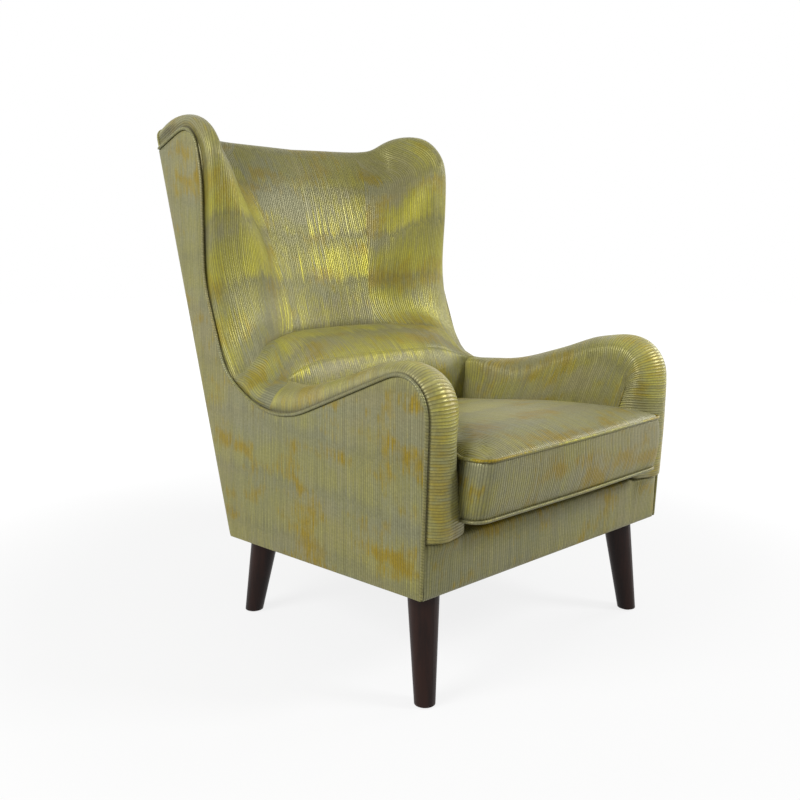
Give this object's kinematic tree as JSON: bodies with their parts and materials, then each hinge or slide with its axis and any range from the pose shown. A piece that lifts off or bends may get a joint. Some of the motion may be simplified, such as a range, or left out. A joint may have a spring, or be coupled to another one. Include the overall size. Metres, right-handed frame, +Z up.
{
  "type": "wingback armchair",
  "caption": "Upholstered wing armchair with sweeping padded arms, a hollowed back, a loose boxed seat cushion and splayed turned legs.",
  "frame": {"origin": "on the floor, in the middle of the chair's overall box", "axes": "+Z up, the front faces -Y, +X to the right seen from the front; X = 0 is the plane of symmetry"},
  "size_m": [0.672, 0.8968, 1.022],
  "materials": {
    "cover_cloth": "ribbed woven cloth with a soft sheen",
    "piping_cloth": "the same cloth over cord",
    "foam": "open-cell foam",
    "frame_wood": "bare birch",
    "leg_wood": "dark stain, satin",
    "webbing": "woven elastic",
    "lining": "black lining cloth",
    "steel": "zinc plated",
    "glide_plastic": "moulded",
    "zip_plastic": "moulded coil on tape"
  },
  "bodies": {
    "frame": {"left_arm_wing_pad": "cover_cloth", "right_arm_wing_pad": "cover_cloth", "inner_back_pad": "cover_cloth", "lumbar_pad": "cover_cloth", "left_outside_panel": "cover_cloth", "right_outside_panel": "cover_cloth", "outside_back_panel": "cover_cloth", "front_band": "cover_cloth", "left_side_piping": "piping_cloth", "right_side_piping": "piping_cloth", "deck_pad": "foam", "left_side_board": "frame_wood", "right_side_board": "frame_wood", "front_rail": "frame_wood", "back_rail": "frame_wood", "left_side_rail": "frame_wood", "right_side_rail": "frame_wood", "left_back_post": "frame_wood", "right_back_post": "frame_wood", "top_back_rail": "frame_wood", "lumbar_rail": "frame_wood", "corner_blocks": "frame_wood", "front_left_leg": "leg_wood", "front_right_leg": "leg_wood", "back_left_leg": "leg_wood", "back_right_leg": "leg_wood", "seat_straps_long": "webbing", "seat_straps_cross": "webbing", "back_straps": "webbing", "deck_cover": "lining", "dust_cover": "lining", "leg_bolts": "steel", "tee_nuts": "steel", "leg_glides": "glide_plastic"},
    "cushion": {"cushion_core": "foam", "cushion_cover": "cover_cloth", "cushion_zip": "zip_plastic", "cushion_lower_piping": "piping_cloth", "cushion_upper_piping": "piping_cloth"}
  },
  "joints": [
    {"name": "cushion_slide", "type": "slide", "parent": "frame", "child": "cushion", "axis": [0, -0.9978, 0.0661], "range_m": [0, 0.55]}
  ]
}
